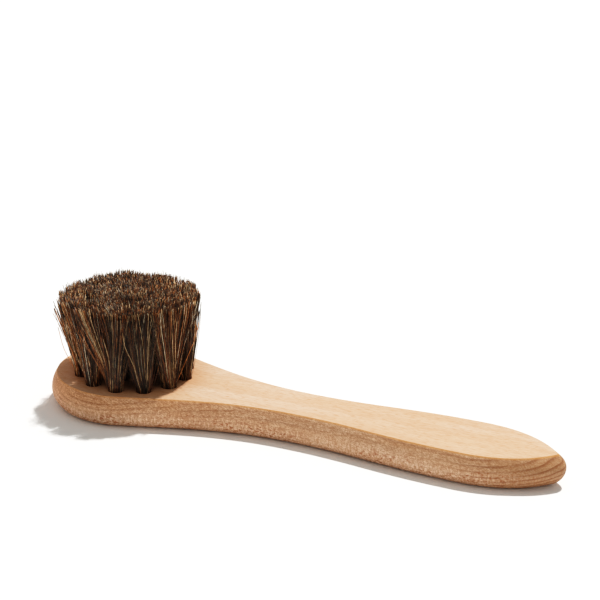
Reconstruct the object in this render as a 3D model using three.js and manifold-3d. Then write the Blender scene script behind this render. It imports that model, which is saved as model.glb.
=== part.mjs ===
// Round-headed horsehair hand brush: one wooden handle with blind tuft holes, horsehair
// tufts folded over wire staples, each piece its own mesh.
// Millimetres. +X runs from the head to the tail, +Z up, the bristles point up.
// The origin is under the middle of the overall length, on the surface the brush lies on.
import * as THREE from 'three';
import { mergeVertices } from 'three/addons/utils/BufferGeometryUtils.js';
import Module from 'manifold-3d';

const wasm = await Module();
wasm.setup();

// ---- Driving dimensions ----

const LENGTH = 169.5;
const THICKNESS = 10.3;

// Plan of the crisp top edge. X is measured from the head's centre.
const HEAD_RADIUS = 22.5;
const NECK_START = THREE.MathUtils.degToRad(70); // where the head's circle runs into the neck
const NECK_PULL = 20; // handle length of the neck curve where it leaves the head
const WAIST_X = 62;
const WAIST_HALF_WIDTH = 8.4;
const WAIST_PULL_HEAD = 22;
const WAIST_PULL_GRIP = 21;
const GRIP_X = 116;
const GRIP_HALF_WIDTH = 12.1;
const GRIP_PULL_WAIST = 25;
const GRIP_PULL_TAIL = 15.5;
const TIP_RADIUS = 1;
const TIP_ANGLE = THREE.MathUtils.degToRad(42); // half angle of the tail's point
const TIP_PULL = 5.2;

// Section of the side: out from the crisp top edge to a crest, then round under to the flat
// foot. Over the last stretch before the tail's point it changes to the tip's section. The
// foot is also tucked in lengthways at both ends of the handle.
const BULGE = 1.8;
const CREST_DEPTH = 5.4;
const FOOT_INSET = 2;
const FOOT_ROOM_SHARE = 0.65; // the foot keeps at least a third of the plan's width
const TIP_STRETCH = 12;
const TIP_BULGE = 2.9;
const TIP_CREST_DEPTH = 4.4;
const TIP_TUCK = 1.4;
const HEAD_STRETCH = 16; // from the head's far point towards its centre
const HEAD_TUCK = 2.8;

// Tuft holes: a centre hole and two rings, drilled straight down.
const RING_CENTRE_X = 2.5;
const OUTER_RING_RADIUS = 16.8;
const OUTER_COUNT = 12;
const OUTER_PHASE = THREE.MathUtils.degToRad(7.3);
const INNER_RING_RADIUS = 8.25;
const INNER_COUNT = 6;
const INNER_PHASE = THREE.MathUtils.degToRad(22.3);
const HOLE_RADIUS = 2.5;
const HOLE_DEPTH = 7.5;
const HOLE_SIDES = 16;

// Tufts.
const GAP = 0.3; // clearance between pieces
const BRISTLE_HEIGHT = 27;
const TRIM_CENTRE_X = 0.3; // the trimmed top is round about this point, near the head's centre
const TRIM_RADIUS = 21.9;
const TRIM_DOME = 0.5; // how much lower the trimmed top is at its rim
const ROOT_RADIUS = HOLE_RADIUS - GAP;

// Staples.
const WIRE_RADIUS = 0.4;
const STAPLE_HALF_SPAN = 1.75;
const STAPLE_BEND = 0.8;
const FOLD_BELOW_WIRE = 0.9; // hair under the crown of the staple
const LEG_IN_WOOD = 1.5;
const POCKET_SIDES = 6; // the pockets for the legs

// ---- Positions that follow from them ----

const HEAD_X = -LENGTH / 2 + BULGE + HEAD_RADIUS;
const TAIL_X = LENGTH - BULGE - TIP_BULGE - HEAD_RADIUS;
const HOLE_FLOOR = THICKNESS - HOLE_DEPTH;
const CROWN_Z = HOLE_FLOOR + GAP + FOLD_BELOW_WIRE + GAP + WIRE_RADIUS;
const POCKET_RADIUS = WIRE_RADIUS + GAP;

// ---- Materials ----

const wood = new THREE.MeshStandardMaterial({ color: 0xdfbe95, roughness: 0.62, metalness: 0 });
const horsehair = new THREE.MeshStandardMaterial({ color: 0x5a3c28, roughness: 0.55, metalness: 0 });
const steel = new THREE.MeshStandardMaterial({ color: 0xb9bcc0, roughness: 0.35, metalness: 1 });

// ---- Small tools ----

const WELD_DISTANCE = 1e-4; // points nearer than this are one

/** A closed body from rings of equal point counts, capped flat at the first and last ring. */
function loft(rings) {
  const count = rings[0].length;
  const positions = rings.flat().flatMap((p) => [p.x, p.y, p.z]);
  const index = [];
  for (let r = 0; r + 1 < rings.length; r += 1) {
    for (let i = 0; i < count; i += 1) {
      const a = r * count + i;
      const b = r * count + ((i + 1) % count);
      index.push(a, b, b + count, a, b + count, a + count);
    }
  }
  const capTriangles = (ring) => {
    const outline = ring.map((p) => new THREE.Vector2(p.x, p.y));
    return THREE.ShapeUtils.triangulateShape(outline, []).map(([a, b, c]) => {
      const turnsLeft = THREE.ShapeUtils.area([outline[a], outline[b], outline[c]]) > 0;
      return turnsLeft ? [a, b, c] : [a, c, b];
    });
  };
  const lastStart = (rings.length - 1) * count;
  capTriangles(rings[0]).forEach(([a, b, c]) => index.push(a, c, b));
  capTriangles(rings[rings.length - 1]).forEach(([a, b, c]) => {
    index.push(lastStart + a, lastStart + b, lastStart + c);
  });
  const geometry = new THREE.BufferGeometry();
  geometry.setAttribute('position', new THREE.Float32BufferAttribute(positions, 3));
  geometry.setIndex(index);
  return geometry;
}

/** Geometry to manifold solid. */
function solid(geometry) {
  const bare = geometry.clone();
  bare.deleteAttribute('normal');
  bare.deleteAttribute('uv');
  const merged = mergeVertices(bare, WELD_DISTANCE);
  return new wasm.Manifold(new wasm.Mesh({
    numProp: 3,
    vertProperties: Float32Array.from(merged.attributes.position.array),
    triVerts: Uint32Array.from(merged.index.array),
  }));
}

/** Manifold solid back to geometry. */
function geometryOf(body) {
  const mesh = body.getMesh();
  const geometry = new THREE.BufferGeometry();
  geometry.setAttribute('position', new THREE.Float32BufferAttribute(mesh.vertProperties, 3));
  geometry.setIndex(Array.from(mesh.triVerts));
  geometry.computeVertexNormals();
  return geometry;
}

/** A solid with all the cutters taken away from it. */
function cut(geometry, cutters) {
  return geometryOf(cutters.reduce((body, cutter) => body.subtract(solid(cutter)), solid(geometry)));
}

/** An upright drill from one height to another. */
function drill(x, y, radius, fromZ, toZ, sides) {
  const geometry = new THREE.CylinderGeometry(radius, radius, toZ - fromZ, sides);
  geometry.rotateX(Math.PI / 2);
  geometry.translate(x, y, (fromZ + toZ) / 2);
  return geometry;
}

// ---- Where each tuft stands ----

/** One row of stations: position from the head's centre, direction from the ring's centre. */
function ring(prefix, count, radius, phase) {
  return Array.from({ length: count }, (_, i) => {
    const angle = phase + (i * 2 * Math.PI) / count;
    return {
      suffix: `${prefix}_${String(i + 1).padStart(2, '0')}`,
      angle,
      x: RING_CENTRE_X + radius * Math.cos(angle),
      y: radius * Math.sin(angle),
    };
  });
}

const outerStations = ring('outer', OUTER_COUNT, OUTER_RING_RADIUS, OUTER_PHASE);
const innerStations = ring('inner', INNER_COUNT, INNER_RING_RADIUS, INNER_PHASE);
const centreStation = { suffix: 'centre', angle: 0, x: RING_CENTRE_X, y: 0 };
const stations = [...outerStations, ...innerStations, centreStation];

// ---- Handle ----

/** 1 at the head's far point, falling to 0 towards its centre. */
function headShare(x) {
  return 1 - THREE.MathUtils.smoothstep(x, -HEAD_RADIUS, HEAD_STRETCH - HEAD_RADIUS);
}

/** 1 at the tail's point, falling to 0 where the last stretch starts. */
function tipShare(x) {
  return THREE.MathUtils.smoothstep(x, TAIL_X - TIP_STRETCH, TAIL_X);
}

/**
 * Half of the plan, from the head's far point to the tail's tip. Each station has its point,
 * its outward normal and the room it has inwards along that normal before the centre line.
 */
function halfPlan() {
  const neckX = HEAD_RADIUS * Math.cos(NECK_START);
  const neckY = HEAD_RADIUS * Math.sin(NECK_START);
  const tipCentre = TAIL_X - TIP_RADIUS;
  const tipX = tipCentre + TIP_RADIUS * Math.cos(TIP_ANGLE);
  const tipY = TIP_RADIUS * Math.sin(TIP_ANGLE);
  const at = (x, y) => new THREE.Vector2(x, y);
  const head = new THREE.ArcCurve(0, 0, HEAD_RADIUS, Math.PI, NECK_START, true);
  const neck = new THREE.CubicBezierCurve(
    at(neckX, neckY),
    at(neckX + NECK_PULL * Math.sin(NECK_START), neckY - NECK_PULL * Math.cos(NECK_START)),
    at(WAIST_X - WAIST_PULL_HEAD, WAIST_HALF_WIDTH),
    at(WAIST_X, WAIST_HALF_WIDTH),
  );
  const grip = new THREE.CubicBezierCurve(
    at(WAIST_X, WAIST_HALF_WIDTH),
    at(WAIST_X + WAIST_PULL_GRIP, WAIST_HALF_WIDTH),
    at(GRIP_X - GRIP_PULL_WAIST, GRIP_HALF_WIDTH),
    at(GRIP_X, GRIP_HALF_WIDTH),
  );
  const tail = new THREE.CubicBezierCurve(
    at(GRIP_X, GRIP_HALF_WIDTH),
    at(GRIP_X + GRIP_PULL_TAIL, GRIP_HALF_WIDTH),
    at(tipX - TIP_PULL * Math.sin(TIP_ANGLE), tipY + TIP_PULL * Math.cos(TIP_ANGLE)),
    at(tipX, tipY),
  );
  const tip = new THREE.ArcCurve(tipCentre, 0, TIP_RADIUS, TIP_ANGLE, 0, true);
  const stretches = [[head, 12], [neck, 8], [grip, 6], [tail, 8], [tip, 2]];
  const half = stretches.flatMap(([curve, steps]) => Array.from({ length: steps }, (_, i) => {
    const point = curve.getPoint(i / steps);
    const tangent = curve.getTangent(i / steps);
    return { point, normal: at(-tangent.y, tangent.x), room: point.y / tangent.x };
  }));
  half[0] = { point: at(-HEAD_RADIUS, 0), normal: at(-1, 0), room: HEAD_RADIUS };
  half.push({ point: at(TAIL_X, 0), normal: at(1, 0), room: TIP_RADIUS });
  return half;
}

/** The whole plan, anticlockwise seen from above. */
function fullPlan() {
  const half = halfPlan();
  const mirrored = half.slice(1, -1).map(({ point, normal, room }) => ({
    point: new THREE.Vector2(point.x, -point.y),
    normal: new THREE.Vector2(normal.x, -normal.y),
    room,
  }));
  return [...mirrored, ...half.reverse()];
}

/**
 * Section of the side at a place along the handle, from the foot up, as [distance out from the
 * top edge, height, shift towards the tail].
 */
function sideSection(x) {
  const nearTip = tipShare(x);
  const tuck = HEAD_TUCK * headShare(x) - TIP_TUCK * nearTip;
  const bulge = THREE.MathUtils.lerp(BULGE, TIP_BULGE, nearTip);
  const crestDepth = THREE.MathUtils.lerp(CREST_DEPTH, TIP_CREST_DEPTH, nearTip);
  const crestZ = THICKNESS - crestDepth;
  const underSteps = 5;
  const overSteps = 3;
  const under = Array.from({ length: underSteps }, (_, i) => {
    const angle = (Math.PI / 2) * (1 - i / underSteps);
    const inward = 1 - Math.cos(angle);
    const out = bulge - (bulge + FOOT_INSET) * inward;
    return [out, crestZ * (1 - Math.sin(angle)), tuck * inward];
  });
  const over = Array.from({ length: overSteps + 1 }, (_, i) => {
    const rise = i / overSteps;
    return [bulge * (1 - rise * rise), crestZ + crestDepth * rise, 0];
  });
  return [...under, ...over];
}

function makeHandle() {
  const sections = fullPlan().map(({ point, normal, room }) => (
    sideSection(point.x).map(([out, z, shift]) => {
      const offset = Math.max(out, -FOOT_ROOM_SHARE * room);
      const x = point.x + offset * normal.x + shift;
      return new THREE.Vector3(x, point.y + offset * normal.y, z);
    })
  ));
  const blank = loft(sections[0].map((_, row) => sections.map((section) => section[row])));
  const above = THICKNESS + 1;
  const pocketFloor = HOLE_FLOOR - LEG_IN_WOOD - GAP;
  const holes = stations.map(({ x, y }) => drill(x, y, HOLE_RADIUS, HOLE_FLOOR, above, HOLE_SIDES));
  const pockets = stations.flatMap(({ x, y, angle }) => [-1, 1].map((side) => drill(
    x - side * STAPLE_HALF_SPAN * Math.sin(angle),
    y + side * STAPLE_HALF_SPAN * Math.cos(angle),
    POCKET_RADIUS,
    pocketFloor,
    HOLE_FLOOR + 1,
    POCKET_SIDES,
  )));
  const mesh = new THREE.Mesh(cut(blank, [...holes, ...pockets]), wood);
  mesh.name = 'handle';
  return mesh;
}

// ---- Tufts ----

const TUFT_SIDES = 16; // points round a tuft
const CORNER_SHARPNESS = 9; // power of the blend between a sector's sides

/** The root's round section. */
function rootSection(z) {
  return Array.from({ length: TUFT_SIDES }, (_, i) => {
    const turn = (i * 2 * Math.PI) / TUFT_SIDES;
    return new THREE.Vector3(ROOT_RADIUS * Math.cos(turn), ROOT_RADIUS * Math.sin(turn), z);
  });
}

/**
 * The trimmed section of a tuft that fills one sector of the head. Local X points away from
 * the ring's centre, which lies at local X = -radius. The sector has a straight inner side,
 * two straight radial sides and a round outer side, and its corners are softened.
 */
function sectorSection(radius, halfAngle, innerLine, outerRadius) {
  const middle = (innerLine + outerRadius) / 2;
  return Array.from({ length: TUFT_SIDES }, (_, i) => {
    const turn = (i * 2 * Math.PI) / TUFT_SIDES;
    const dx = Math.cos(turn);
    const dy = Math.sin(turn);
    const slant = Math.abs(dy) * Math.cos(halfAngle) - dx * Math.sin(halfAngle);
    const along = middle * dx;
    const limits = [
      dx < 0 ? (innerLine - middle) / dx : Infinity,
      slant > 0 ? (middle * Math.sin(halfAngle) - GAP / 2) / slant : Infinity,
      -along + Math.sqrt(along * along + outerRadius ** 2 - middle ** 2),
    ];
    const closeness = limits.reduce((sum, limit) => sum + limit ** -CORNER_SHARPNESS, 0);
    const reach = closeness ** (-1 / CORNER_SHARPNESS);
    return new THREE.Vector2(middle - radius + reach * dx, reach * dy);
  });
}

/** The trimmed section of the centre tuft. */
function roundSection(radius) {
  return Array.from({ length: TUFT_SIDES }, (_, i) => {
    const turn = (i * 2 * Math.PI) / TUFT_SIDES;
    return new THREE.Vector2(radius * Math.cos(turn), radius * Math.sin(turn));
  });
}

/** What the staple needs cut out of a tuft's root, with clearance all round. */
function stapleClearance() {
  const reach = ROOT_RADIUS + 1;
  const crownTop = CROWN_Z + WIRE_RADIUS + GAP;
  const crownBottom = CROWN_Z - WIRE_RADIUS - GAP;
  const legInside = STAPLE_HALF_SPAN - WIRE_RADIUS - GAP;
  const bottom = HOLE_FLOOR - 1;
  const tunnel = new THREE.BoxGeometry(2 * (WIRE_RADIUS + GAP), 2 * reach, crownTop - crownBottom);
  tunnel.translate(0, 0, (crownTop + crownBottom) / 2);
  const flanks = [-1, 1].map((side) => {
    const flank = new THREE.BoxGeometry(2 * reach, reach - legInside, crownTop - bottom);
    flank.translate(0, (side * (reach + legInside)) / 2, (crownTop + bottom) / 2);
    return flank;
  });
  return [tunnel, ...flanks];
}

/**
 * The tuft's top section is laid out about the ring's centre. The whole trimmed top then
 * leans over from there to its own centre.
 */
function makeTuft(station, topSection) {
  const fromRingCentre = Math.hypot(station.x - RING_CENTRE_X, station.y);
  const lean = TRIM_CENTRE_X - RING_CENTRE_X;
  const top = topSection.map((p) => {
    const fromTrimCentre = Math.hypot(fromRingCentre + p.x, p.y);
    const drop = TRIM_DOME * (fromTrimCentre / TRIM_RADIUS) ** 2;
    return new THREE.Vector3(
      p.x + lean * Math.cos(station.angle),
      p.y - lean * Math.sin(station.angle),
      THICKNESS + BRISTLE_HEIGHT - drop,
    );
  });
  const body = loft([rootSection(HOLE_FLOOR + GAP), rootSection(THICKNESS), top]);
  const mesh = new THREE.Mesh(cut(body, stapleClearance()), horsehair);
  mesh.name = `tuft_${station.suffix}`;
  return mesh;
}

// ---- Staples ----

/** A U of wire lying along local Y, crown up. */
function makeStaple(station) {
  const legEnd = HOLE_FLOOR - LEG_IN_WOOD;
  const bendTop = CROWN_Z - STAPLE_BEND;
  const path = new THREE.CurvePath();
  const at = (y, z) => new THREE.Vector3(0, y, z);
  const inside = STAPLE_HALF_SPAN - STAPLE_BEND;
  path.add(new THREE.LineCurve3(at(-STAPLE_HALF_SPAN, legEnd), at(-STAPLE_HALF_SPAN, bendTop)));
  path.add(new THREE.QuadraticBezierCurve3(
    at(-STAPLE_HALF_SPAN, bendTop), at(-STAPLE_HALF_SPAN, CROWN_Z), at(-inside, CROWN_Z),
  ));
  path.add(new THREE.LineCurve3(at(-inside, CROWN_Z), at(inside, CROWN_Z)));
  path.add(new THREE.QuadraticBezierCurve3(
    at(inside, CROWN_Z), at(STAPLE_HALF_SPAN, CROWN_Z), at(STAPLE_HALF_SPAN, bendTop),
  ));
  path.add(new THREE.LineCurve3(at(STAPLE_HALF_SPAN, bendTop), at(STAPLE_HALF_SPAN, legEnd)));
  const section = new THREE.Shape();
  section.absarc(0, 0, WIRE_RADIUS, 0, 2 * Math.PI);
  const geometry = new THREE.ExtrudeGeometry(section, {
    extrudePath: path, steps: 14, curveSegments: 3, bevelEnabled: false,
  });
  const mesh = new THREE.Mesh(geometry, steel);
  mesh.name = `staple_${station.suffix}`;
  return mesh;
}

// ---- Assembly ----

/** A tuft and its staple, standing at their station. */
function makeSet(station, topSection) {
  const set = new THREE.Group();
  set.add(makeTuft(station, topSection), makeStaple(station));
  set.position.set(station.x, station.y, 0);
  set.rotation.z = station.angle;
  return set;
}

const centreTopRadius = 4.3;
const innerTopLine = centreTopRadius + GAP; // inner side of an inner tuft
const innerTopRadius = 12.3;
const outerTopLine = innerTopRadius + GAP;

const brush = new THREE.Group();
brush.position.x = HEAD_X;
brush.add(makeHandle());
const outerTop = sectorSection(
  OUTER_RING_RADIUS, Math.PI / OUTER_COUNT, outerTopLine, TRIM_RADIUS,
);
const innerTop = sectorSection(
  INNER_RING_RADIUS, Math.PI / INNER_COUNT, innerTopLine, innerTopRadius,
);
outerStations.forEach((station) => brush.add(makeSet(station, outerTop)));
innerStations.forEach((station) => brush.add(makeSet(station, innerTop)));
brush.add(makeSet(centreStation, roundSection(centreTopRadius)));

const object = new THREE.Group();
object.add(brush);

export default object;
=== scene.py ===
"""Looks for the round-headed horsehair hand brush: the wood, the hair, the floor and the light."""

import math

import bmesh
import bpy
import numpy as np
from mathutils import Matrix, Vector


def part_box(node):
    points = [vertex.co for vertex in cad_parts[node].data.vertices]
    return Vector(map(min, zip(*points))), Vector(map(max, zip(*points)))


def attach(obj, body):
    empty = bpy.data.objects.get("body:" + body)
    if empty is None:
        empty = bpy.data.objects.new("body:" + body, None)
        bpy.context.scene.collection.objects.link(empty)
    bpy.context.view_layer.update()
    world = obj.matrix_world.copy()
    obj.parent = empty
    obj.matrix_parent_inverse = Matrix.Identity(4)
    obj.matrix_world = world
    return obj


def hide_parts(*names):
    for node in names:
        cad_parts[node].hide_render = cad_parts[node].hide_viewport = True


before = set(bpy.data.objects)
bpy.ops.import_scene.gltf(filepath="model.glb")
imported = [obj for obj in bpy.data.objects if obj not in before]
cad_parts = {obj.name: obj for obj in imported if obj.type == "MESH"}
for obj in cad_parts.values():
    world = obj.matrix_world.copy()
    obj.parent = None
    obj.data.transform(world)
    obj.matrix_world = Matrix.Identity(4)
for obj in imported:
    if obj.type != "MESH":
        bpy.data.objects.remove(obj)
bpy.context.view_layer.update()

MM = 0.001

# ---- The handle's plan and section, in millimetres, as in the CAD model ----

BULGE = 1.8
CREST_DEPTH = 5.4
FOOT_INSET = 2
FOOT_ROOM_SHARE = 0.65
TIP_STRETCH = 12
TIP_BULGE = 2.9
TIP_CREST_DEPTH = 4.4
TIP_TUCK = 1.4
HEAD_STRETCH = 16
HEAD_TUCK = 2.8
HEAD_RADIUS = 22.5
NECK_START = math.radians(70)
NECK_PULL = 20
WAIST_X, WAIST_HALF = 62, 8.4
WAIST_PULL_HEAD, WAIST_PULL_GRIP = 22, 21
GRIP_X, GRIP_HALF = 116, 12.1
GRIP_PULL_WAIST, GRIP_PULL_TAIL = 25, 15.5
TIP_RADIUS = 1
TIP_ANGLE = math.radians(42)
TIP_PULL = 5.2
HOLE_RADIUS = 2.5
HOLE_DEPTH = 7.5
WIRE_RADIUS = 0.4

# the smooth handle's mesh
UNDER_ROWS, SIDE_ROWS = 14, 8
EDGE_EASE = 0.12  # the top edge is crisp, with a small ease
CUTTER_HEADROOM = 2  # how far the hole cutter stands out of the wood

WOOD_LOW, WOOD_HIGH = (Vector(corner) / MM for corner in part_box("handle"))
CROWN_LOW, CROWN_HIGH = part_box("staple_centre")
HAIR_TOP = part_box("tuft_centre")[1].z / MM
TOP_Z = WOOD_HIGH.z
HEAD_X = WOOD_LOW.x + BULGE + HEAD_RADIUS
TAIL_X = WOOD_HIGH.x - WOOD_LOW.x - BULGE - TIP_BULGE - HEAD_RADIUS
HOLE_FLOOR = TOP_Z - HOLE_DEPTH
RING_X = (CROWN_LOW.x + CROWN_HIGH.x) / 2 / MM  # the centre of the rings of tufts
CROWN_Z = CROWN_HIGH.z / MM - WIRE_RADIUS  # the middle of the staples' upper wire


# ---- Node helpers ----

def srgb(red, green, blue):
    """A display colour, 0 to 255, as a linear RGBA colour."""
    def linear(value):
        value /= 255
        return value / 12.92 if value <= 0.04045 else ((value + 0.055) / 1.055) ** 2.4
    return (linear(red), linear(green), linear(blue), 1.0)


class Nodes:
    """A material's node tree, built with short calls that return output sockets."""

    def __init__(self, name):
        self.material = bpy.data.materials.new(name)
        self.material.use_nodes = True
        self.tree = self.material.node_tree
        self.tree.nodes.clear()
        output = self.add("ShaderNodeOutputMaterial")
        self.shader = self.add("ShaderNodeBsdfPrincipled")
        self.link(self.shader.outputs[0], output.inputs["Surface"])

    def add(self, kind, **settings):
        node = self.tree.nodes.new(kind)
        for key, value in settings.items():
            setattr(node, key, value)
        return node

    def link(self, source, target):
        self.tree.links.new(source, target)

    def feed(self, socket, value):
        """Links an output, or sets a constant."""
        if isinstance(value, bpy.types.NodeSocket):
            self.link(value, socket)
        else:
            socket.default_value = value

    def math(self, operation, *values):
        node = self.add("ShaderNodeMath", operation=operation)
        for socket, value in zip(node.inputs, values):
            self.feed(socket, value)
        return node.outputs[0]

    def times(self, a, b):
        return self.math("MULTIPLY", a, b)

    def weigh(self, value, weight, rest):
        """value * weight + rest"""
        return self.math("MULTIPLY_ADD", value, weight, rest)

    def without(self, value):
        """1 - value"""
        return self.math("SUBTRACT", 1.0, value)

    def between(self, value, at_zero, at_one):
        """Goes straight from at_zero to at_one as value goes from 0 to 1."""
        return self.weigh(value, at_one - at_zero, at_zero)

    def step(self, value, low, high):
        """Goes smoothly from 0 to 1 as value goes from low to high."""
        node = self.add("ShaderNodeMapRange", interpolation_type="SMOOTHSTEP")
        self.feed(node.inputs["Value"], value)
        node.inputs["From Min"].default_value = low
        node.inputs["From Max"].default_value = high
        return node.outputs[0]

    def position(self):
        """Place on the object in millimetres."""
        coords = self.add("ShaderNodeTexCoord")
        scale = self.add("ShaderNodeVectorMath", operation="SCALE")
        self.link(coords.outputs["Object"], scale.inputs[0])
        scale.inputs["Scale"].default_value = 1 / MM
        return scale.outputs[0]

    def split(self, vector):
        node = self.add("ShaderNodeSeparateXYZ")
        self.link(vector, node.inputs[0])
        return tuple(node.outputs)

    def join(self, x, y, z):
        node = self.add("ShaderNodeCombineXYZ")
        for socket, value in zip(node.inputs, (x, y, z)):
            self.link(value, socket)
        return node.outputs[0]

    def noise(self, vector, waves, start=(0, 0, 0), detail=2.0, roughness=0.5, distortion=0.0):
        """Noise with this many waves in a millimetre along each axis."""
        stretch = self.add("ShaderNodeMapping")
        self.link(vector, stretch.inputs["Vector"])
        stretch.inputs["Scale"].default_value = waves
        stretch.inputs["Location"].default_value = start
        node = self.add("ShaderNodeTexNoise")
        self.link(stretch.outputs[0], node.inputs["Vector"])
        node.inputs["Scale"].default_value = 1.0
        node.inputs["Detail"].default_value = detail
        node.inputs["Roughness"].default_value = roughness
        node.inputs["Distortion"].default_value = distortion
        return node.outputs[0]

    def mix(self, factor, a, b, blend="MIX"):
        node = self.add("ShaderNodeMix", data_type="RGBA", blend_type=blend)
        self.feed(node.inputs["Factor"], factor)
        for socket, value in ((node.inputs[6], a), (node.inputs[7], b)):
            self.feed(socket, value)
        return node.outputs[2]

    def tint(self, base, mask, strength, colour):
        """Lays a colour over the base where the mask is 1."""
        return self.mix(self.times(mask, strength), base, colour)

    def bump(self, height, strength, distance):
        node = self.add("ShaderNodeBump")
        self.link(height, node.inputs["Height"])
        node.inputs["Strength"].default_value = strength
        node.inputs["Distance"].default_value = distance
        self.link(node.outputs[0], self.shader.inputs["Normal"])


# ---- Wood ----

# the flat faces: the ground, then what is laid over it
FACE, FACE_CLOUD = srgb(216, 188, 165), srgb(213, 180, 152)
FACE_BAND = srgb(207, 168, 137)
FACE_FIBRE = srgb(193, 149, 116)
FACE_RAY = srgb(190, 134, 94)
FACE_LATE = srgb(190, 140, 102)

# the edges
EDGE, EDGE_BAND = srgb(238, 203, 174), srgb(222, 181, 147)
EDGE_LOW = srgb(241, 209, 182)
EDGE_TAIL = srgb(180, 138, 102)
EDGE_END = srgb(150, 112, 78)
EDGE_LACE = srgb(154, 102, 66)
EDGE_BARS = srgb(164, 112, 76)
EDGE_FIBRE = srgb(164, 115, 78)
EDGE_DASH = srgb(146, 80, 44)
EDGE_LATE = srgb(128, 78, 46)
# painted light along the crisp top edge
EDGE_PAINTED_LIGHT = srgb(208, 146, 88)

# multiplied onto the wood in one place each: painted shade on the neck's side, the head's side and
# round the tufts, and painted light on the head's far end
NECK_SIDE_SHADE = (0.965, 0.90, 0.84, 1.0)
HEAD_SIDE_SHADE = (0.93, 0.89, 0.84, 1.0)
HEAD_PAINTED_GLOW = (1.20, 1.07, 0.99, 1.0)
TUFT_PAINTED_SHADE = (0.91, 0.76, 0.65, 1.0)

# where along the handle, up its edge or out from the tufts' centre, in millimetres
TAIL_SPAN = (48.0, 80.0)
END_SPAN = (60.0, 82.0)
NECK_SPAN = (-25.0, 25.0)
HEAD_SIDE_SPAN = (HEAD_X, HEAD_X + 45)
HEAD_SPAN = (HEAD_X - HEAD_RADIUS, HEAD_X)
LOW_SPAN = (3.0, 8.0)
PAINTED_RIM_SPAN = (TOP_Z - 0.7, TOP_Z - 0.1)
TUFT_SHADE_SPAN = (18.0, 27.0)

FACE_TURN = (0.80, 0.97)  # how far up or down a surface looks: from an edge to a flat face
LAYER_THICKNESS = 1.5
LAYER_ACROSS, LAYER_UP = -0.30, 0.95  # the growth layers' tilt
LAYER_WAVER = 3.5
SLANT_UP, SLANT_ALONG = 0.36, 0.93  # sine and cosine of the edge lace's slant
WOOD_BUMP, WOOD_BUMP_DEPTH = 0.35, 0.0001


def growth_lines(n, place, at_end):
    """Late wood: layers tilted about the handle's length and gently wavy, clearest at its end."""
    _, across, height = n.split(place)
    waver = n.noise(place, (0.012, 0.045, 0.045))
    layer = n.weigh(across, LAYER_ACROSS, n.times(height, LAYER_UP))
    layer = n.weigh(waver, LAYER_WAVER, layer)
    season = n.math("FRACT", n.math("DIVIDE", layer, LAYER_THICKNESS))
    late = n.times(n.step(season, 0.35, 0.85), n.without(n.step(season, 0.86, 1.0)))
    faint = n.noise(place, (0.02, 0.20, 0.20), start=(3, 7, 5), detail=1.0)
    clear = n.math("MAXIMUM", n.step(faint, 0.30, 0.70), n.times(at_end, 0.85))
    return n.times(late, clear)


def face_colour(n, place, fibre, band, late):
    """The flat faces: pale, with short faint orange ray lines."""
    cloud = n.noise(place, (0.03, 0.06, 0.06), start=(4, 8, 1), detail=1.0)
    rays = n.noise(place, (0.42, 3.0, 3.0), start=(2, 5, 3), detail=1.0)
    face = n.mix(n.step(cloud, 0.35, 0.65), FACE, FACE_CLOUD)
    face = n.tint(face, n.step(band, 0.35, 0.70), 0.60, FACE_BAND)
    face = n.tint(face, n.step(fibre, 0.40, 0.66), 0.54, FACE_FIBRE)
    face = n.tint(face, n.step(rays, 0.54, 0.68), 0.56, FACE_RAY)
    return n.tint(face, late, 0.20, FACE_LATE)


def edge_lace(n, place):
    """The rays end on, on the edges: a fine slanting lace."""
    along, across, height = n.split(place)
    slant = n.join(
        n.weigh(height, -SLANT_UP, n.times(along, SLANT_ALONG)),
        across,
        n.weigh(height, SLANT_ALONG, n.times(along, SLANT_UP)),
    )
    lace = n.noise(slant, (1.4, 1.7, 5.0), start=(1, 4, 2), roughness=0.7, distortion=0.4)
    return n.step(lace, 0.42, 0.58)


def edge_colour(n, place, fibre, band, late, lace, at_end):
    """The edges: the lace, upright bars and reddish dashes low down, and lines higher up."""
    along, _, height = n.split(place)
    low = n.without(n.step(height, *LOW_SPAN))
    high = n.without(low)
    at_tail = n.step(along, *TAIL_SPAN)
    head_side = n.times(high, n.without(n.step(along, *HEAD_SIDE_SPAN)))
    neck_side = n.times(high, n.without(n.step(along, *NECK_SPAN)))
    bars = n.noise(place, (2.1, 2.1, 0.50), start=(5, 3, 2), roughness=0.7)
    dashes = n.noise(place, (1.0, 1.0, 1.7), start=(6, 1, 8), detail=1.0, roughness=0.4,
                     distortion=0.6)
    patches = n.noise(place, (0.06, 0.06, 0.10), start=(2, 2, 7), detail=1.0)
    low_patches = n.times(low, n.step(patches, 0.36, 0.54))

    edge = n.mix(n.step(band, 0.30, 0.72), EDGE, EDGE_BAND)
    edge = n.tint(edge, low, 0.55, EDGE_LOW)
    edge = n.tint(edge, at_tail, 0.50, EDGE_TAIL)
    edge = n.tint(edge, lace, n.between(high, 0.52, 0.62), EDGE_LACE)
    edge = n.tint(edge, n.step(bars, 0.42, 0.58), n.between(low, 0.14, 0.60), EDGE_BARS)
    edge = n.tint(edge, at_end, 0.40, EDGE_END)
    edge = n.tint(edge, n.step(fibre, 0.42, 0.62), n.between(high, 0.20, 0.52), EDGE_FIBRE)
    dash_strength = n.between(low_patches, 0.10, 0.76)
    edge = n.tint(edge, n.step(dashes, 0.54, 0.64), dash_strength, EDGE_DASH)
    line_strength = n.weigh(at_tail, 0.50, n.between(head_side, 0.30, 0.46))
    edge = n.tint(edge, late, line_strength, EDGE_LATE)
    # painted shade: the upper side is darker along the neck and along the head
    edge = n.mix(neck_side, edge, NECK_SIDE_SHADE, "MULTIPLY")
    return n.mix(head_side, edge, HEAD_SIDE_SHADE, "MULTIPLY")


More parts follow.
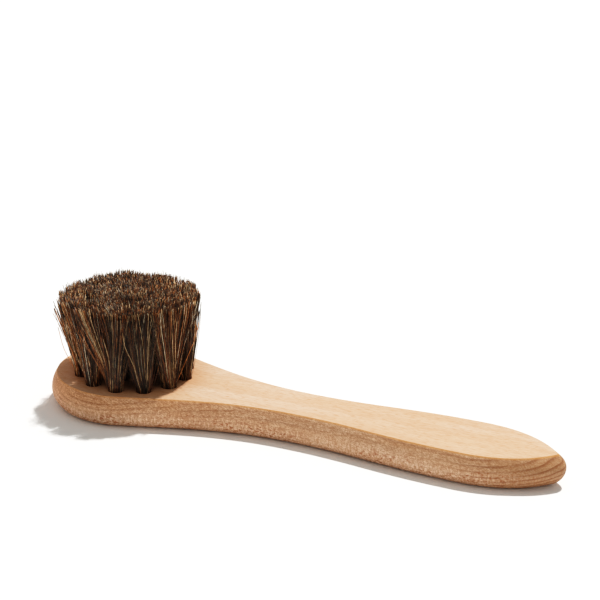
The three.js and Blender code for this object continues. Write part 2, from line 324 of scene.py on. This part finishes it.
def wood_material():
    n = Nodes("pale_hardwood")
    place = n.position()
    along, across, height = n.split(place)
    normal = n.add("ShaderNodeTexCoord").outputs["Normal"]
    flat = n.step(n.math("ABSOLUTE", n.split(normal)[2]), *FACE_TURN)
    side = n.without(flat)

    at_end = n.step(along, *END_SPAN)
    late = growth_lines(n, place, at_end)
    fibre = n.noise(place, (0.16, 3.4, 3.4), detail=3.0, roughness=0.65)
    band = n.noise(place, (0.016, 0.22, 0.22), start=(9, 2, 4))
    lace = edge_lace(n, place)
    face = face_colour(n, place, fibre, band, late)
    edge = edge_colour(n, place, fibre, band, late, lace, at_end)
    colour = n.mix(side, face, edge)
    # painted light: the head's far end is lighter and warmer, as where light comes through the
    # orange hair
    colour = n.mix(n.without(n.step(along, *HEAD_SPAN)), colour, HEAD_PAINTED_GLOW, "MULTIPLY")

    # painted shade: the wood round the tufts is darker and redder, as where the hair keeps the
    # light off it
    from_ring = n.math("POWER", n.math("SUBTRACT", along, RING_X), 2.0)
    from_ring = n.math("SQRT", n.math("ADD", from_ring, n.math("POWER", across, 2.0)))
    tuft_painted_shade = n.times(flat, n.without(n.step(from_ring, *TUFT_SHADE_SPAN)))
    colour = n.mix(tuft_painted_shade, colour, TUFT_PAINTED_SHADE, "MULTIPLY")

    # painted light: the crisp top edge is lighter and more orange, as where its small rounding
    # catches the light; less so at the head, which lies in the hair's shade
    rim = n.times(side, n.step(height, *PAINTED_RIM_SPAN))
    colour = n.tint(colour, rim, n.between(n.step(along, HEAD_X, 0.0), 0.40, 0.72), EDGE_PAINTED_LIGHT)
    n.link(colour, n.shader.inputs["Base Color"])

    n.link(n.between(fibre, 0.48, 0.68), n.shader.inputs["Roughness"])
    n.shader.inputs["Specular IOR Level"].default_value = 0.30
    grain = n.weigh(lace, -0.3, n.times(fibre, 0.7))
    n.bump(grain, WOOD_BUMP, WOOD_BUMP_DEPTH)
    return n.material


# ---- The other materials ----

WIRE_DARK, WIRE_LIGHT = srgb(150, 150, 152), srgb(205, 205, 206)
FLOOR_DARK, FLOOR_LIGHT = srgb(250, 250, 250), srgb(252, 252, 252)
HAIR_BUMP, HAIR_BUMP_DEPTH = 0.25, 0.00003
WIRE_BUMP, WIRE_BUMP_DEPTH = 0.2, 0.00002


def hair_material():
    n = Nodes("horsehair")
    strand = n.add("ShaderNodeAttribute", attribute_name="strand")
    streak = n.noise(n.position(), (2.6, 2.6, 0.55), detail=3.0, roughness=0.6)
    shade = n.between(n.step(streak, 0.25, 0.75), 0.38, 1.63)
    grey = n.add("ShaderNodeCombineColor")
    for socket in grey.inputs:
        n.link(shade, socket)
    colour = n.mix(1.0, strand.outputs["Color"], grey.outputs[0], "MULTIPLY")
    n.link(colour, n.shader.inputs["Base Color"])
    n.link(n.between(streak, 0.26, 0.51), n.shader.inputs["Roughness"])
    n.shader.inputs["Specular IOR Level"].default_value = 0.5
    n.bump(streak, HAIR_BUMP, HAIR_BUMP_DEPTH)
    return n.material


def wire_material():
    n = Nodes("drawn_steel_wire")
    draw = n.noise(n.position(), (6.0, 6.0, 0.8), detail=3.0)
    n.link(n.mix(draw, WIRE_DARK, WIRE_LIGHT), n.shader.inputs["Base Color"])
    n.shader.inputs["Metallic"].default_value = 1.0
    n.link(n.between(draw, 0.25, 0.45), n.shader.inputs["Roughness"])
    n.bump(draw, WIRE_BUMP, WIRE_BUMP_DEPTH)
    return n.material


def floor_material():
    n = Nodes("white_floor")
    tone = n.noise(n.position(), (0.004, 0.004, 0.004), detail=1.0)
    n.link(n.mix(tone, FLOOR_DARK, FLOOR_LIGHT), n.shader.inputs["Base Color"])
    n.shader.inputs["Roughness"].default_value = 0.9
    n.shader.inputs["Specular IOR Level"].default_value = 0.1
    return n.material


# ---- Mesh helper ----

def make_object(name, vertices, faces, material):
    """An object from vertices in millimetres."""
    mesh = bpy.data.meshes.new(name)
    mesh.from_pydata((np.asarray(vertices) * MM).tolist(), [], faces)
    mesh.materials.append(material)
    mesh.validate()
    piece = bpy.data.objects.new(name, mesh)
    bpy.context.scene.collection.objects.link(piece)
    return piece


# ---- Handle ----

def bezier(p0, p1, p2, p3, steps):
    """Points and tangents of a cubic curve, without its last point."""
    t = (np.arange(steps) / steps)[:, None]
    p0, p1, p2, p3 = (np.array(p, float) for p in (p0, p1, p2, p3))
    points = (1 - t) ** 3 * p0 + 3 * (1 - t) ** 2 * t * p1 + 3 * (1 - t) * t ** 2 * p2 + t ** 3 * p3
    slopes = (1 - t) ** 2 * (p1 - p0) + 2 * (1 - t) * t * (p2 - p1) + t ** 2 * (p3 - p2)
    return points, slopes / np.linalg.norm(slopes, axis=1)[:, None]


def arc(x, radius, start, end, steps):
    """Points and tangents of a clockwise arc about (x, 0), without its last point."""
    angle = start + (end - start) * np.arange(steps) / steps
    points = np.stack([x + radius * np.cos(angle), radius * np.sin(angle)], axis=1)
    return points, np.stack([np.sin(angle), -np.cos(angle)], axis=1)


def half_plan():
    """Points, outward normals and inward room from the head's far point to the tail's tip."""
    neck = np.array([math.cos(NECK_START), math.sin(NECK_START)]) * HEAD_RADIUS
    leave = np.array([math.sin(NECK_START), -math.cos(NECK_START)]) * NECK_PULL
    waist, grip = (WAIST_X, WAIST_HALF), (GRIP_X, GRIP_HALF)
    tip_x = TAIL_X - TIP_RADIUS
    tip = np.array([tip_x + TIP_RADIUS * math.cos(TIP_ANGLE), TIP_RADIUS * math.sin(TIP_ANGLE)])
    arrive = np.array([-math.sin(TIP_ANGLE), math.cos(TIP_ANGLE)]) * TIP_PULL
    stretches = [
        arc(0, HEAD_RADIUS, math.pi, NECK_START, steps=70),
        bezier(neck, neck + leave, (WAIST_X - WAIST_PULL_HEAD, WAIST_HALF), waist, steps=60),
        bezier(waist, (WAIST_X + WAIST_PULL_GRIP, WAIST_HALF),
               (GRIP_X - GRIP_PULL_WAIST, GRIP_HALF), grip, steps=50),
        bezier(grip, (GRIP_X + GRIP_PULL_TAIL, GRIP_HALF), tip + arrive, tip, steps=50),
        arc(tip_x, TIP_RADIUS, TIP_ANGLE, 0.0, steps=8),
    ]
    points = np.vstack([s[0] for s in stretches] + [[[TAIL_X, 0.0]]])
    tangents = np.vstack([s[1] for s in stretches] + [[[0.0, -1.0]]])
    normals = np.stack([-tangents[:, 1], tangents[:, 0]], axis=1)
    room = points[:, 1] / np.maximum(normals[:, 1], 1e-6)
    room[0], room[-1] = HEAD_RADIUS, TIP_RADIUS
    return points, normals, room


def smooth(share):
    share = np.clip(share, 0, 1)
    return share ** 2 * (3 - 2 * share)


def side_section(x):
    """The side's section from the foot up: distance out from the top edge, height and shift
    towards the tail. Each is an array with a row for each height and a column for each x."""
    near_tip = smooth((x - TAIL_X + TIP_STRETCH) / TIP_STRETCH)
    near_head = 1 - smooth((x + HEAD_RADIUS) / HEAD_STRETCH)
    bulge = BULGE + (TIP_BULGE - BULGE) * near_tip
    crest_depth = CREST_DEPTH + (TIP_CREST_DEPTH - CREST_DEPTH) * near_tip
    crest = TOP_Z - crest_depth
    under = np.linspace(math.pi / 2, 0, UNDER_ROWS + 1)[:-1, None]
    inward = 1 - np.cos(under)
    rise = np.linspace(0, 1, SIDE_ROWS + 1)[:-1, None]
    eased = EDGE_EASE * np.array([[1.1, -0.9], [0.35, -0.25], [-0.9, 0]])
    flat = np.zeros_like(x)
    out = np.vstack([
        bulge - (bulge + FOOT_INSET) * inward,
        bulge * (1 - rise ** 2),
        eased[:, :1] + flat,
    ])
    height = np.vstack([
        crest * (1 - np.sin(under)),
        crest + crest_depth * rise,
        TOP_Z + eased[:, 1:] + flat,
    ])
    shift = np.zeros_like(out)
    shift[:len(under)] = (HEAD_TUCK * near_head - TIP_TUCK * near_tip) * inward
    return out, height, shift


def make_handle(material, stations):
    points, normals, room = half_plan()
    mirror = np.array([1, -1])
    points = np.vstack([points[1:-1] * mirror, points[::-1]])
    normals = np.vstack([normals[1:-1] * mirror, normals[::-1]])
    room = np.concatenate([room[1:-1], room[::-1]])
    out, height, shift = side_section(points[:, 0])
    out = np.maximum(out, -FOOT_ROOM_SHARE * room)
    rows, count = out.shape
    vertices = np.stack([
        HEAD_X + points[:, 0] + out * normals[:, 0] + shift,
        points[:, 1] + out * normals[:, 1],
        height,
    ], axis=-1).reshape(-1, 3)
    faces = [list(range(count))[::-1], list(range(len(vertices) - count, len(vertices)))]
    for r in range(rows - 1):
        for i in range(count):
            a, b = r * count + i, r * count + (i + 1) % count
            faces.append([a, b, b + count, a + count])
    handle = make_object("handle_wood", vertices, faces, material)
    bore_tuft_holes(handle, stations)
    for polygon in handle.data.polygons:
        polygon.use_smooth = abs(polygon.normal.z) < 0.999  # all but the flat faces
    return handle


def bore_tuft_holes(handle, stations):
    """Takes the blind holes out of the head."""
    cutter = bmesh.new()
    depth = (HOLE_DEPTH + CUTTER_HEADROOM) * MM
    for station in stations:
        centre = Vector((station["x"], station["y"], HOLE_FLOOR)) * MM + Vector((0, 0, depth / 2))
        bmesh.ops.create_cone(
            cutter, cap_ends=True, segments=32, radius1=HOLE_RADIUS * MM, radius2=HOLE_RADIUS * MM,
            depth=depth, matrix=Matrix.Translation(centre))
    mesh = bpy.data.meshes.new("hole_cutter")
    cutter.to_mesh(mesh)
    cutter.free()
    tool = bpy.data.objects.new("hole_cutter", mesh)
    bpy.context.scene.collection.objects.link(tool)
    boolean = handle.modifiers.new("holes", "BOOLEAN")
    boolean.operation = "DIFFERENCE"
    boolean.solver = "EXACT"
    boolean.object = tool
    evaluated = handle.evaluated_get(bpy.context.evaluated_depsgraph_get())
    bored = bpy.data.meshes.new_from_object(evaluated)
    handle.modifiers.clear()
    handle.data = bored
    bpy.data.objects.remove(tool)


# ---- Hair ----

FOLDED_HAIRS = 380  # in each tuft; each gives two ends
ENDS = (FOLDED_HAIRS, 2)
HAIR_RADIUS = (0.05, 0.10)
HAIR_SIDES = 4
ROOT_RADIUS = 2.3
RISE = np.linspace(0, 1, 10)  # the points of one end, from the wood to the tip

# the trimmed top
OUTER_TUFTS, INNER_TUFTS = 12, 6
INNER_EDGE = 4.45  # where the centre tuft's part of it meets the inner ring's
OUTER_EDGE = 12.45  # where the inner ring's meets the outer ring's
TRIM_RADIUS = 21.9
TRIM_CENTRE_X = HEAD_X + 0.3
TRIM_DOME = 0.5  # how much lower its rim lies
TRIM_SCATTER = 0.36
RIM_INSET, RIM_SCATTER = 0.55, 0.45
RIM_LIFT, RIM_CUT = 0.3, 0.5  # the locks at the rim were trimmed a little unevenly

# its directions, as turns about its middle
TOE_TURN = math.pi  # the head's far end, where the hairs spread most and end lowest
BACK_TURN = math.radians(82)
RIGHT_TURN = math.radians(22)  # the side with the fuller hairs, and with painted light on them, as where the sun shines through them from behind
NEAR_TURN = math.radians(-42)  # the side where the hairs spread least
TOE_SPREAD, RIGHT_SPREAD, NEAR_INSET = 0.8, 0.5, 1.4
TOE_DROP, BACK_DROP = 1.2, 0.2

# how a tuft fans from its root: outwards from the ring's centre, and sideways
FAN_OUT, FAN_SIDE = 1.12, 1.35
SCATTER_OUT, SCATTER_SIDE = 0.8, 1.2
BEND = (0.90, 1.25)  # the power of the way up by which an end leans out
RIGHT_BEND = 0.36

# locks: clumps that the hairs of a tuft gather in
LOCKS = 12
LOCK_ROOM = 0.8  # the share of the root's radius that their middles keep to
LOCK_LEAN = 1.35
GATHER = 0.35  # how much the hairs of a lock draw together halfway up
LOCK_WAVE = dict(size=0.45, slow=0.35, fast=0.8)
HAIR_WAVE = dict(size=0.22, slow=0.5, fast=1.8)

# hairs that were cut short
SHORT_SHARE = 0.10
SHORT_CUT = (0.4, 4.0)

# hairs on the outside of the outer ring's tufts that have broken loose
LOOSE_SHARE = 0.09
LOOSE_FROM = 0.70  # the share of the root's radius that they stand beyond
LOOSE_OUT, LOOSE_SIDE = 2.5, 3.2
LOOSE_SLACK, LOOSE_CUT = 0.4, 7.0

# hairs of whole locks that stray out over the rim, in the outer tufts near the toe
STRAY_BEYOND = -0.6  # the cosine of the tuft's angle
STRAY_LOCKS, STRAY_SHARE = 0.30, 0.6
STRAY_FROM = 0.5
STRAY_SLACK, STRAY_CUT = (0.2, 3.4), 2.0
STRAY_BAND = 3  # how far inside the rim they start

# the fold under the staple's crown
FOLD_TWIST = 0.25
FOLD_SQUEEZE = 0.42
FOLD_DEPTH, FOLD_SPREAD = 0.5, 1.15  # below the crown, and how much deeper the outside hairs go
FOLD_SHOULDER = 0.7
FOLD_TOP = 0.3

# lightness, as factors on the strand's colour; the loose, right and left factors are painted light
STRAND_TONE = (0.6, 1.45)
LOCK_TONE = (0.72, 1.34)
LOOSE_PAINTED_LIGHT = 1.25
RIGHT_PAINTED_LIGHT = 0.36
ROOT_TONE, TIP_TONE, TONE_POWER = 0.72, 0.18, 0.7
LEFT_GAIN, LEFT_START = 2.0, 0.9  # the left side begins where the share to the left is 0.45
LEFT_PAINTED_LIGHT, LEFT_FADE = 7.4, 7.3  # painted light on the left side's hairs, as where they catch the sun: lightest halfway up, and hardly lighter at the tips

PALETTE = [  # share, display colour of the strand
    (0.27, (42, 32, 23)),
    (0.29, (76, 52, 33)),
    (0.21, (114, 72, 41)),
    (0.10, (156, 100, 56)),
    (0.09, (196, 164, 126)),
    (0.04, (178, 166, 146)),
]


def tuft_stations():
    """Where each tuft stands: taken from the CAD staples' boxes."""
    stations = []
    for name in sorted(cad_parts):
        if name.startswith("staple_"):
            low, high = (Vector(corner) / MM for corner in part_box(name))
            x, y = (low.x + high.x) / 2, (low.y + high.y) / 2
            away = math.hypot(x - RING_X, y)
            stations.append({
                "suffix": name[len("staple_"):],
                "x": x,
                "y": y,
                "radius": away,
                "angle": math.atan2(y, x - RING_X) if away > 1 else 0.0,
            })
    return stations


def trimmed_reach(station, turn):
    """How far the tuft's cell of the trimmed top reaches from its middle, and where that is."""
    if station["radius"] < 1:
        return np.full_like(turn, INNER_EDGE), 0.0
    outer = "outer" in station["suffix"]
    low, high = (OUTER_EDGE, TRIM_RADIUS) if outer else (INNER_EDGE, OUTER_EDGE)
    half = math.pi / (OUTER_TUFTS if outer else INNER_TUFTS)
    middle = (low + high) / 2
    dx, dy = np.cos(turn), np.sin(turn)
    with np.errstate(divide="ignore", invalid="ignore"):
        inner = np.where(dx < -1e-3, (low - middle) / dx, 1e3)
        slant = np.abs(dy) * math.cos(half) - dx * math.sin(half)
        sides = np.where(slant > 1e-3, middle * math.sin(half) / slant, 1e3)
    rim = -middle * dx + np.sqrt((middle * dx) ** 2 + high ** 2 - middle ** 2)
    return np.minimum(np.minimum(inner, sides), rim), middle - station["radius"]


def strand_colours(rng, count):
    shares = np.array([share for share, _ in PALETTE])
    tones = np.array([srgb(*tone)[:3] for _, tone in PALETTE])
    picked = tones[rng.choice(len(PALETTE), size=count, p=shares / shares.sum())]
    return picked * rng.uniform(*STRAND_TONE, (count, 1))


def wander(rng, shape, size, slow, fast):
    """Sideways waves along hairs: nothing at the root, full size at the tip."""
    phase = rng.uniform(0, 2 * math.pi, shape + (2, 1))
    pace = rng.uniform(slow, fast, shape + (2, 1))
    reach = rng.normal(0, size, shape + (2, 1))
    return reach * np.sqrt(RISE) * (np.sin(2 * math.pi * pace * RISE + phase) - np.sin(phase))


def tubes(path, radius, sides):
    """Closed tubes along many paths at once. Local Y, which no path runs along, sets how the
    sections are turned."""
    hairs, length = path.shape[:2]
    tangent = np.gradient(path, axis=1)
    tangent /= np.linalg.norm(tangent, axis=2, keepdims=True)
    cross = np.array([0.0, 1.0, 0.0]) - tangent * tangent[..., 1:2]
    cross /= np.linalg.norm(cross, axis=2, keepdims=True)
    other = np.cross(tangent, cross)
    angle = np.arange(sides) * 2 * math.pi / sides
    ring = cross[:, :, None] * np.cos(angle)[:, None] + other[:, :, None] * np.sin(angle)[:, None]
    vertices = (path[:, :, None] + ring * radius[:, None, None, None]).reshape(-1, 3)
    first = np.arange(hairs) * length * sides
    faces = []
    for i in range(length - 1):
        for j in range(sides):
            a, b = first + i * sides + j, first + i * sides + (j + 1) % sides
            faces.append(np.stack([a, b, b + sides, a + sides], axis=1))
    last = (length - 1) * sides
    faces.append(np.stack([first + j for j in range(sides)][::-1], axis=1))
    faces.append(np.stack([first + last + j for j in range(sides)], axis=1))
    return vertices, np.vstack(faces).tolist()


class Tuft:
    """A bundle of hairs folded in half under a staple's crown. Local X points away from the
    ring's centre, and local Y along the staple. Arrays of shape ENDS hold a row for each hair
    and a column for each of its two ends."""

    def __init__(self, station, seed):
        self.station = station
        self.outer = "outer" in station["suffix"]
        self.rng = np.random.default_rng(seed)
        self.place_roots()
        self.fan_tips()
        self.gather_locks()
        self.break_loose()
        self.trim()

    def place_roots(self):
        """The two ends of a hair stand on opposite sides of the staple."""
        rng = self.rng
        self.across = ROOT_RADIUS * np.sqrt(rng.uniform(0, 1, ENDS))
        turn = rng.uniform(-math.pi / 2, math.pi / 2, FOLDED_HAIRS)
        opposite = math.pi - turn + rng.normal(0, FOLD_TWIST, FOLDED_HAIRS)
        self.turns = np.stack([turn, opposite], axis=1)
        self.root_x = self.across * np.cos(self.turns)
        self.root_y = self.across * np.sin(self.turns)

    def fan_tips(self):
        reach, shift = trimmed_reach(self.station, self.turns)
        spread = (self.across / ROOT_RADIUS) * reach
        self.tip_x = shift + FAN_OUT * spread * np.cos(self.turns)
        self.tip_x += self.rng.normal(0, SCATTER_OUT, ENDS)
        self.tip_y = FAN_SIDE * spread * np.sin(self.turns)
        self.tip_y += self.rng.normal(0, SCATTER_SIDE, ENDS)

    def gather_locks(self):
        """Hairs whose roots are near one another belong to one lock, and lean together."""
        lock_at = ROOT_RADIUS * self.rng.uniform(-LOCK_ROOM, LOCK_ROOM, (LOCKS, 2))
        gap_x = self.root_x[..., None] - lock_at[:, 0]
        gap_y = self.root_y[..., None] - lock_at[:, 1]
        self.lock = (gap_x ** 2 + gap_y ** 2).argmin(axis=2)
        lean = self.rng.normal(0, LOCK_LEAN, (LOCKS, 2))
        self.tip_x += lean[self.lock, 0]
        self.tip_y += lean[self.lock, 1]

    def break_loose(self):
        rng = self.rng
        outside = self.across > LOOSE_FROM * ROOT_RADIUS
        self.loose = (rng.uniform(0, 1, ENDS) < LOOSE_SHARE) & outside & self.outer
        self.tip_x += np.where(self.loose, rng.uniform(0.0, LOOSE_OUT, ENDS), 0)
        self.tip_y += np.where(self.loose, rng.normal(0, LOOSE_SIDE, ENDS), 0)

    def pick_strays(self):
        near_toe = self.outer and math.cos(self.station["angle"]) < STRAY_BEYOND
        stray_lock = self.rng.uniform(0, 1, LOCKS) < (STRAY_LOCKS if near_toe else 0.0)
        outside = self.across > STRAY_FROM * ROOT_RADIUS
        return stray_lock[self.lock] & outside & (self.rng.uniform(0, 1, ENDS) < STRAY_SHARE)

    def trim(self):
        """Brings the tips inside the round top and to its height."""
        rng, angle = self.rng, self.station["angle"]
        away = self.station["radius"] + self.tip_x
        from_middle = np.hypot(away, self.tip_y)
        self.bearing = np.arctan2(self.tip_y, away) + angle
        toe, back, right, near = (
            np.clip(np.cos(self.bearing - turn), 0, 1)
            for turn in (TOE_TURN, BACK_TURN, RIGHT_TURN, NEAR_TURN))
        astray = self.pick_strays()
        slack = np.where(astray, rng.uniform(*STRAY_SLACK, ENDS), rng.normal(0, RIM_SCATTER, ENDS))
        limit = TRIM_RADIUS - RIM_INSET + slack + np.where(self.loose, LOOSE_SLACK, 0.0)
        limit += TOE_SPREAD * toe ** 2 + RIGHT_SPREAD * right ** 2 - NEAR_INSET * near ** 3
        keep = np.minimum(1, limit / np.maximum(from_middle, 1e-6))
        pushed = astray & (from_middle > TRIM_RADIUS - STRAY_BAND)
        keep = np.where(pushed, limit / from_middle, keep)
        away, side = away * keep, self.tip_y * keep
        share = np.hypot(away, side) / TRIM_RADIUS
        at_rim = np.clip(5 * share - 4, 0, 1)

        tip_z = HAIR_TOP - TRIM_DOME * share ** 2 + rng.normal(0, TRIM_SCATTER, ENDS)
        tip_z -= (TOE_DROP * toe ** 2 + BACK_DROP * back ** 2) * share ** 2
        tip_z += (RIM_LIFT - rng.exponential(RIM_CUT, LOCKS)[self.lock]) * at_rim
        short = rng.uniform(0, 1, ENDS) < SHORT_SHARE
        tip_z -= np.where(short, rng.uniform(*SHORT_CUT, ENDS), 0)
        tip_z -= np.where(self.loose, rng.uniform(0.0, LOOSE_CUT, ENDS), 0)
        tip_z -= np.where(astray, rng.uniform(0.0, STRAY_CUT, ENDS), 0)

        off_centre = TRIM_CENTRE_X - RING_X
        self.tip_x = away - self.station["radius"] + off_centre * math.cos(angle)
        self.tip_y = side - off_centre * math.sin(angle)
        self.tip_z = tip_z
        self.share = share  # 0 in the middle of the trimmed top, 1 at its rim
        self.right = share * right

    def ends(self):
        """The points of both ends of every hair, from the wood to the tip."""
        bend = self.rng.uniform(*BEND, ENDS + (1,)) - RIGHT_BEND * self.right[..., None]
        lock_wave = wander(self.rng, (LOCKS,), **LOCK_WAVE)[self.lock]
        wave = lock_wave + wander(self.rng, ENDS, **HAIR_WAVE)
        lean = RISE ** bend
        ends = np.stack([
            self.root_x[..., None] + (self.tip_x - self.root_x)[..., None] * lean + wave[:, :, 0],
            self.root_y[..., None] + (self.tip_y - self.root_y)[..., None] * lean + wave[:, :, 1],
            TOP_Z + (self.tip_z - TOP_Z)[..., None] * RISE,
        ], axis=-1)
        # a lock's hairs draw together between root and tip
        members = np.maximum(np.bincount(self.lock.ravel(), minlength=LOCKS), 1)
        spine = np.zeros((LOCKS, len(RISE), 3))
        np.add.at(spine, self.lock, ends)
        spine /= members[:, None, None]
        drawn = (GATHER * np.sin(math.pi * RISE ** 0.8))[:, None] * np.array([1, 1, 0])
        ends += np.where(self.loose[..., None, None], 0, (spine[self.lock] - ends) * drawn)
        return ends

    def fold(self):
        """The points of every hair in the hole: down, round under the crown, and back up."""
        side = self.root_y.mean(axis=1) * FOLD_SQUEEZE
        depth = FOLD_DEPTH + FOLD_SPREAD * np.minimum(self.across.mean(axis=1) / ROOT_RADIUS, 1)
        first, second = self.root_x.T
        top = np.full(FOLDED_HAIRS, CROWN_Z + FOLD_TOP)
        shoulder = CROWN_Z - depth * FOLD_SHOULDER
        points = [
            (first, side, top),
            (first * FOLD_SHOULDER, side, shoulder),
            (np.zeros(FOLDED_HAIRS), side, CROWN_Z - depth),
            (second * FOLD_SHOULDER, side, shoulder),
            (second, side, top),
        ]
        return np.stack([np.stack(point, axis=-1) for point in points], axis=1)

    def path(self):
        ends, fold = self.ends(), self.fold()
        return np.concatenate([ends[:, 0, ::-1], fold, ends[:, 1]], axis=1)

    def colours(self, points):
        """A colour for each point of a path. Each end takes its lock's tone and is darkest in the
        fold. Painted light: loose ends and ends on the right are lighter, and the ends on the left
        side are lightest halfway up, as where they catch the sun."""
        tone = self.rng.uniform(*LOCK_TONE, LOCKS)[self.lock]
        # painted light: loose hairs are lighter, as where they catch the sun
        tone *= np.where(self.loose, LOOSE_PAINTED_LIGHT, 1.0)
        # painted light: ends on the right are lighter, as where the sun shines through them
        tone *= 1 + RIGHT_PAINTED_LIGHT * self.right ** 2
        tone = (ROOT_TONE + TIP_TONE * RISE ** TONE_POWER) * tone[..., None]
        to_left = -self.share * np.cos(self.bearing - RIGHT_TURN)
        left = np.clip(LEFT_GAIN * to_left - LEFT_START, 0, 1)
        tone *= 1 + left[..., None] * RISE * (LEFT_PAINTED_LIGHT - LEFT_FADE * RISE)
        in_fold = tone[:, :, 0].mean(axis=1, keepdims=True)
        in_fold = np.repeat(in_fold, points - 2 * len(RISE), axis=1)
        tone = np.concatenate([tone[:, 0, ::-1], in_fold, tone[:, 1]], axis=1)
        return strand_colours(self.rng, FOLDED_HAIRS)[:, None] * tone[..., None]


def make_tuft(station, material, seed):
    """A tuft's hairs, each a closed tube with two ends."""
    tuft = Tuft(station, seed)
    path = tuft.path()
    radius = tuft.rng.uniform(*HAIR_RADIUS, FOLDED_HAIRS)
    vertices, faces = tubes(path, radius, HAIR_SIDES)
    cos, sin = math.cos(station["angle"]), math.sin(station["angle"])
    turned = vertices.copy()
    turned[:, 0] = station["x"] + vertices[:, 0] * cos - vertices[:, 1] * sin
    turned[:, 1] = station["y"] + vertices[:, 0] * sin + vertices[:, 1] * cos
    piece = make_object(f"hair_{station['suffix']}", turned, faces, material)
    colours = tuft.colours(path.shape[1]).reshape(-1, 3)
    colours = np.repeat(colours, HAIR_SIDES, axis=0)
    layer = piece.data.color_attributes.new("strand", "FLOAT_COLOR", "POINT")
    layer.data.foreach_set("color", np.column_stack([colours, np.ones(len(colours))]).ravel())
    piece.data.polygons.foreach_set("use_smooth", [True] * len(piece.data.polygons))
    return piece


# ---- The object ----

FIRST_SEED = 300

stations = tuft_stations()
handle = make_handle(wood_material(), stations)
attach(handle, "root")
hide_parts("handle")

hair = hair_material()
for index, station in enumerate(stations):
    tuft = make_tuft(station, hair, seed=FIRST_SEED + index)
    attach(tuft, "root")
    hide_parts(f"tuft_{station['suffix']}")

wire = wire_material()
for name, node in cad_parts.items():
    if name.startswith("staple_"):
        node.data.materials.clear()
        node.data.materials.append(wire)

# ---- Floor and light ----

FLOOR_SIZE = 40.0
FLOOR_DROP = 0.0001  # keeps the floor off the handle's underside
SKY_COLOUR, SKY_STRENGTH = (1.0, 0.995, 0.95, 1.0), 0.5
SUN_COLOUR, SUN_STRENGTH = (1.0, 0.99, 0.96), 3.6
SUN_WIDTH = math.radians(2.0)
TOWARDS_SUN = Vector((0.07, 0.36, 1.0))

scene = bpy.context.scene
half = FLOOR_SIZE / 2
floor_mesh = bpy.data.meshes.new("floor")
floor_mesh.from_pydata(
    [(-half, -half, 0), (half, -half, 0), (half, half, 0), (-half, half, 0)], [], [(0, 1, 2, 3)])
floor_mesh.materials.append(floor_material())
floor = bpy.data.objects.new("floor", floor_mesh)
floor.location.z = -FLOOR_DROP
scene.collection.objects.link(floor)

world = bpy.data.worlds.new("studio")
scene.world = world
world.use_nodes = True
sky = world.node_tree.nodes["Background"]
sky.inputs["Color"].default_value = SKY_COLOUR
sky.inputs["Strength"].default_value = SKY_STRENGTH

sun_data = bpy.data.lights.new("key", "SUN")
sun_data.energy = SUN_STRENGTH
sun_data.angle = SUN_WIDTH
sun_data.color = SUN_COLOUR
sun = bpy.data.objects.new("key", sun_data)
sun.rotation_mode = "QUATERNION"
sun.rotation_quaternion = TOWARDS_SUN.to_track_quat("Z", "Y")
scene.collection.objects.link(sun)

# ---- Print of the picture: a film-like response, with a deep toe and a soft shoulder ----

WHITE_LIGHT = 1.4  # scene light that prints pure white
CONTRAST = 1.5
SHOULDER = 0.37
STOPS = (0.02, 0.05, 0.1, 0.17, 0.27, 0.4, 0.6, 0.8)  # shares of it where the curve has points
ALL_CHANNELS = 3


def film(share):
    """Printed light for a share of the white light."""
    power = share ** CONTRAST
    return (1 + SHOULDER) * power / (power + SHOULDER)


view = scene.view_settings
view.view_transform = "Standard"
view.use_curve_mapping = True
response = view.curve_mapping
response.white_level = (WHITE_LIGHT,) * 3
for share in STOPS:
    response.curves[ALL_CHANNELS].points.new(share, film(share))
response.update()

# ---- Camera ----

AZIMUTH, ELEVATION, ROLL = math.radians(22.37), math.radians(20.08), math.radians(1.84)
LENS, SENSOR = 108, 36
DISTANCE = 644.7
AIM = Vector((HEAD_X + 23.78, 85.62, TOP_Z))  # behind the brush, level with the wood's top

back = Vector((
    math.sin(AZIMUTH) * math.cos(ELEVATION),
    -math.cos(AZIMUTH) * math.cos(ELEVATION),
    math.sin(ELEVATION),
))
camera_data = bpy.data.cameras.new("camera")
camera_data.lens = LENS
camera_data.sensor_width = SENSOR
camera = bpy.data.objects.new("camera", camera_data)
camera.location = (AIM + back * DISTANCE) * MM
camera.rotation_mode = "QUATERNION"
turn_to_aim = (-back).to_track_quat("-Z", "Y")
camera.rotation_quaternion = turn_to_aim @ Matrix.Rotation(ROLL, 4, "Z").to_quaternion()
scene.collection.objects.link(camera)
scene.camera = camera
